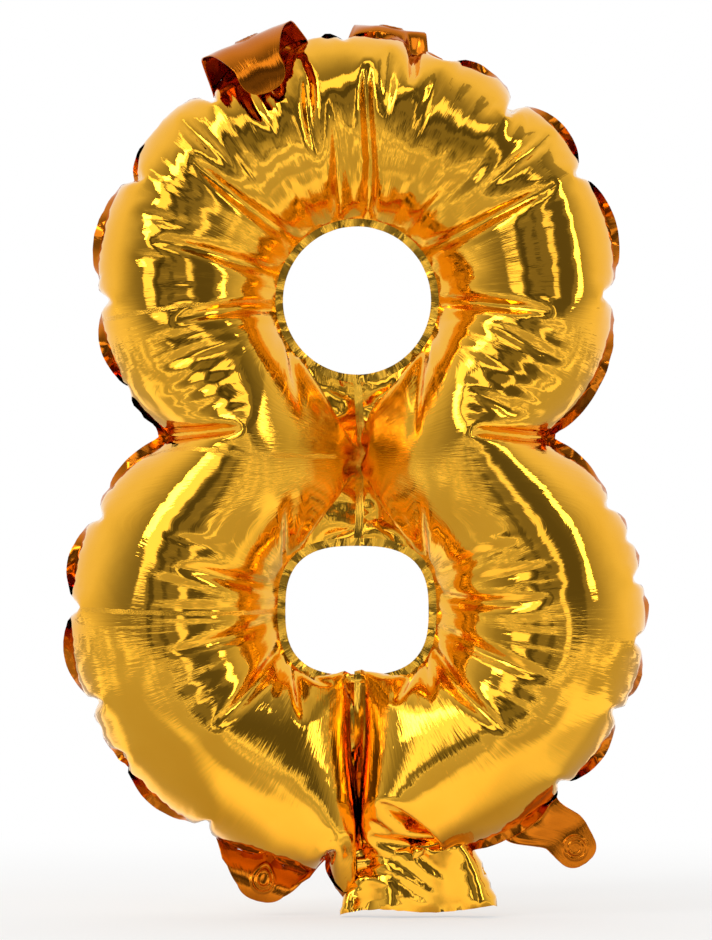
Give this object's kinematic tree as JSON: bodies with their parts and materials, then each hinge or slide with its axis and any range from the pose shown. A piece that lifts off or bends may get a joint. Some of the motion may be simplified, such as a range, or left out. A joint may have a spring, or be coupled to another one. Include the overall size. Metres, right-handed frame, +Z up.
{
  "type": "foil number balloon",
  "caption": "Air-filled mirror foil number balloon, the figure 8: two welded film panels with round and square counters, flat filling neck, inner valve and hanging tabs.",
  "frame": {"origin": "centre of the bounding box's underside, at the hem of the filling neck, with y = 0 in the plane of the welded seams", "axes": "+Z up the figure, +X to the figure's right as it is read, and the front faces -Y"},
  "size_m": [0.2348, 0.0832, 0.3563],
  "materials": {
    "gold_foil": "polished",
    "weld": "gloss",
    "clear_film": "gloss"
  },
  "bodies": {
    "balloon": {"front_film": "gold_foil", "back_film": "gold_foil", "outer_seam": "weld", "upper_counter_seam": "weld", "lower_counter_seam": "weld", "waist_seam": "weld", "left_leg_seam": "weld", "right_leg_seam": "weld", "valve_front_film": "clear_film", "valve_back_film": "clear_film"},
    "neck": {"neck_front_film": "gold_foil", "neck_back_film": "gold_foil"},
    "top_left_tab": {"tab_top_left": "weld"},
    "top_right_tab": {"tab_top_right": "weld"},
    "bottom_left_tab": {"tab_bottom_left": "weld"},
    "bottom_right_tab": {"tab_bottom_right": "weld"}
  },
  "joints": [
    {"name": "neck_fold", "type": "hinge", "parent": "balloon", "child": "neck", "pos_m": [0.027, 0, 0.0204], "axis": [0.9806, 0, 0.1961], "range_deg": [-90, 90], "stiffness_Nm_per_rad": 0.0004},
    {"name": "top_left_tab_fold", "type": "hinge", "parent": "balloon", "child": "top_left_tab", "pos_m": [-0.04114, 0, 0.34173], "axis": [-0.9205, 0, -0.3907], "range_deg": [0, 160], "stiffness_Nm_per_rad": 0.0003},
    {"name": "top_right_tab_fold", "type": "hinge", "parent": "balloon", "child": "top_right_tab", "pos_m": [0.01283, 0, 0.34931], "axis": [0.9925, 0, -0.1219], "range_deg": [0, 150], "stiffness_Nm_per_rad": 0.0003},
    {"name": "bottom_left_tab_fold", "type": "hinge", "parent": "balloon", "child": "bottom_left_tab", "pos_m": [-0.03535, 0, 0.02106], "axis": [0.9657, 0, -0.2598], "range_deg": [-90, 90], "stiffness_Nm_per_rad": 0.0003},
    {"name": "bottom_right_tab_fold", "type": "hinge", "parent": "balloon", "child": "bottom_right_tab", "pos_m": [0.07628, 0, 0.0409], "axis": [0.8044, 0, 0.594], "range_deg": [-90, 90], "stiffness_Nm_per_rad": 0.0003}
  ]
}
